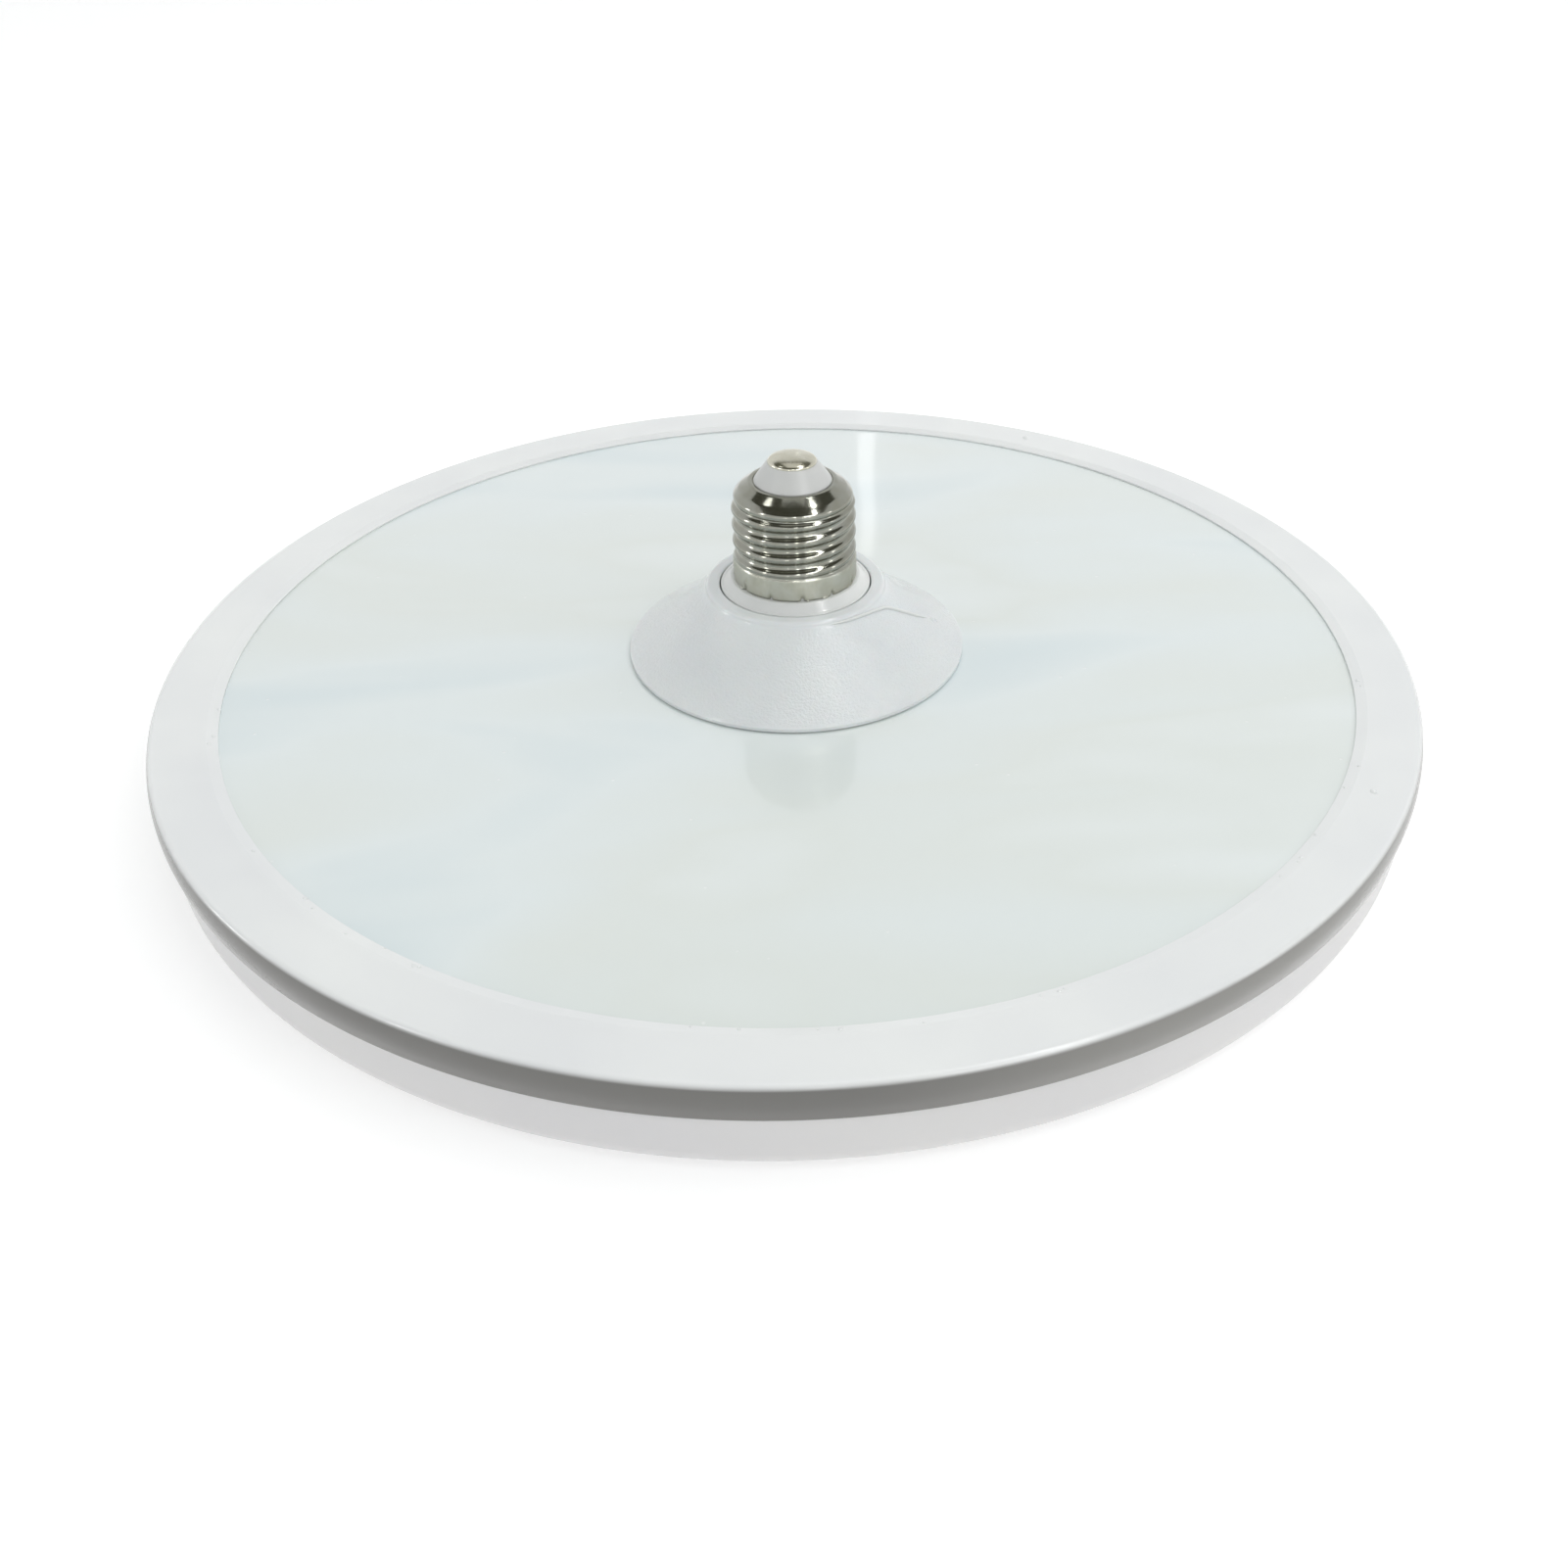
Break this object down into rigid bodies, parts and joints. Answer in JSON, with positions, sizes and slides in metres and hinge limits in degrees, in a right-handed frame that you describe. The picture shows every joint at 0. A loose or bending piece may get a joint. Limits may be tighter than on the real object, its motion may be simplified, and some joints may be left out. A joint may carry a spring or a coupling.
{
  "type": "led disc lamp",
  "caption": "Flat round LED ceiling lamp: milky diffuser dish in a white rim, glossy back plate with a cone neck and an E27 screw cap.",
  "frame": {"origin": "centre of the diffuser's flat underside", "axes": "+Z along the lamp's axis, from the diffuser towards the screw cap; +X towards one cone screw, square to the driver board's thickness"},
  "size_m": [0.2701, 0.2702, 0.0641],
  "materials": {
    "diffuser_plastic": "milky satin",
    "rim_plastic": "gloss moulded white",
    "plate_coat": "mirror-gloss pale coat on sheet",
    "cone_plastic": "fine-grained moulded white",
    "cup_plastic": "gloss moulded white",
    "shell_nickel": "bright nickel plate",
    "insulator_plastic": "moulded light grey",
    "contact_nickel": "bright nickel plate",
    "led_board_coat": "white solder mask",
    "led_phosphor": "phosphor in white frame",
    "screw_zinc": "zinc plated",
    "board_laminate": "green solder mask",
    "capacitor_sleeve": "shrunk sleeve",
    "choke_winding": "shrunk sleeve on ferrite",
    "varistor_coat": "dipped epoxy",
    "resistor_coat": "dipped lacquer",
    "chip_epoxy": "moulded epoxy",
    "connector_plastic": "moulded nylon",
    "tinned_wire": "tinned",
    "red_sleeve": "insulation",
    "black_sleeve": "insulation"
  },
  "bodies": {
    "root": {"diffuser": "diffuser_plastic", "rim_ring": "rim_plastic", "back_plate": "plate_coat", "cone_cover": "cone_plastic", "neck_cup": "cup_plastic", "screw_shell": "shell_nickel", "cap_insulator": "insulator_plastic", "centre_contact": "contact_nickel", "led_board": "led_board_coat", "led_chips": "led_phosphor", "cup_screws": "screw_zinc", "cone_screws": "screw_zinc", "driver_board": "board_laminate", "bulk_capacitor": "capacitor_sleeve", "choke": "choke_winding", "varistor": "varistor_coat", "fuse_resistor": "resistor_coat", "bridge_rectifier": "chip_epoxy", "driver_chip": "chip_epoxy", "lead_connector": "connector_plastic", "live_wire": "tinned_wire", "neutral_wire": "tinned_wire", "positive_lead": "red_sleeve", "negative_lead": "black_sleeve"}
  },
  "joints": []
}
